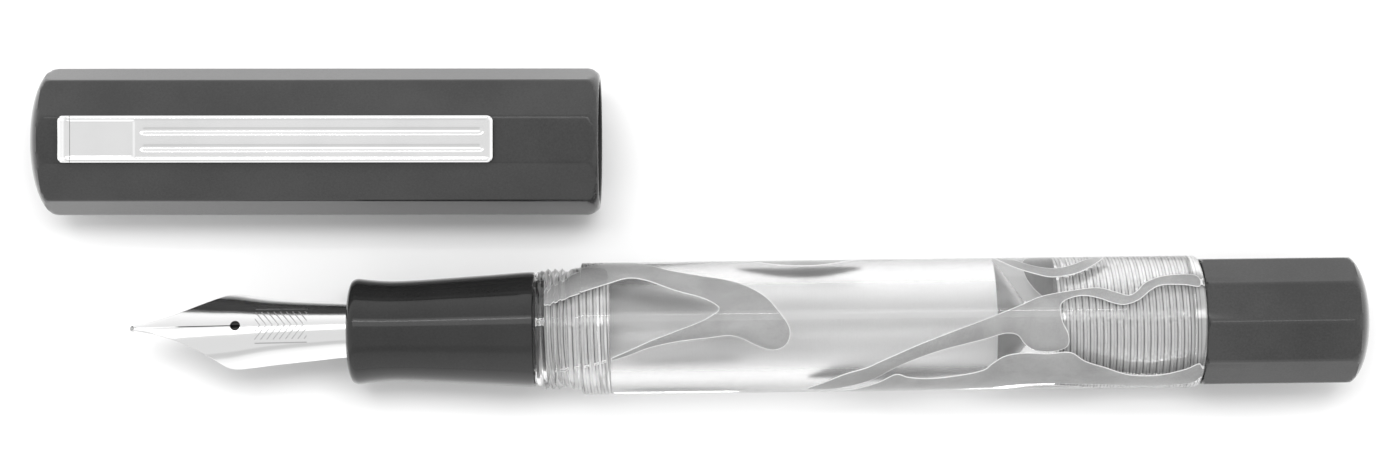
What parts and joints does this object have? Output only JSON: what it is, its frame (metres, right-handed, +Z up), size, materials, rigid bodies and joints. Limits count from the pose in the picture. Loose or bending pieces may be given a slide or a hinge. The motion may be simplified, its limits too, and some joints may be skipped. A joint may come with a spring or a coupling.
{
  "type": "fountain pen",
  "caption": "Clear-barrelled screw-cap fountain pen lying uncapped beside its faceted cap and clip.",
  "frame": {"origin": "bottom centre of the pen and its cap together, on the surface they lie on", "axes": "+X along the pen from nib to tail, +Y from the pen towards its cap, +Z up"},
  "size_m": [0.133, 0.0333, 0.0155],
  "materials": {
    "cap_resin": "polished",
    "tail_resin": "polished",
    "liner_plastic": "moulded",
    "clip_steel": "polished",
    "screw_steel": "plain",
    "clear_acrylic": "polished, clear with grey swirls",
    "seal_rubber": "moulded",
    "grip_resin": "polished",
    "collar_plastic": "moulded",
    "nib_steel": "polished",
    "tipping_alloy": "ground",
    "feed_plastic": "moulded"
  },
  "bodies": {
    "barrel_body": {"barrel": "clear_acrylic"},
    "section_ring": {"section_o_ring": "seal_rubber"},
    "grip": {"grip_section": "grip_resin", "nib_collar": "collar_plastic"},
    "nib_and_feed": {"nib": "nib_steel", "nib_tipping": "tipping_alloy", "feed": "feed_plastic"},
    "tail_ring": {"tail_o_ring": "seal_rubber"},
    "tail": {"tail_knob": "tail_resin"},
    "cap": {"cap_shell": "cap_resin", "inner_cap": "liner_plastic", "clip_root": "clip_steel", "clip_screw": "screw_steel"},
    "clip": {"clip_arm": "clip_steel"}
  },
  "joints": [
    {"name": "section_slide", "type": "slide", "parent": "barrel_body", "child": "section_ring", "axis": [-1, 0, 0], "range_m": [0, 0.00752]},
    {"name": "section_turn", "type": "hinge", "parent": "section_ring", "child": "grip", "pos_m": [-0.02397, -0.01006, 0.0066], "axis": [-1, 0, 0], "range_deg": [0, 4105]},
    {"name": "nib_pull", "type": "slide", "parent": "grip", "child": "nib_and_feed", "axis": [-1, 0, 0], "range_m": [0, 0.009]},
    {"name": "tail_slide", "type": "slide", "parent": "barrel_body", "child": "tail_ring", "axis": [1, 0, 0], "range_m": [0, 0.01439]},
    {"name": "tail_turn", "type": "hinge", "parent": "tail_ring", "child": "tail", "pos_m": [0.04963, -0.01006, 0.0066], "axis": [1, 0, 0], "range_deg": [0, 7849]},
    {"name": "cap_slide", "type": "slide", "parent": "barrel_body", "child": "cap", "axis": [-0.9999, 0.0113, 0], "range_m": [0, 0.05]},
    {"name": "clip_flex", "type": "hinge", "parent": "cap", "child": "clip", "pos_m": [-0.06129, 0.00925, 0.01553], "axis": [-0.0113, -0.9999, 0], "range_deg": [0, 4], "stiffness_Nm_per_rad": 1.8}
  ],
  "couplings": [
    {"joint": "section_turn", "follows": "section_slide", "rad_per_m": 9520},
    {"joint": "tail_turn", "follows": "tail_slide", "rad_per_m": 9520}
  ]
}
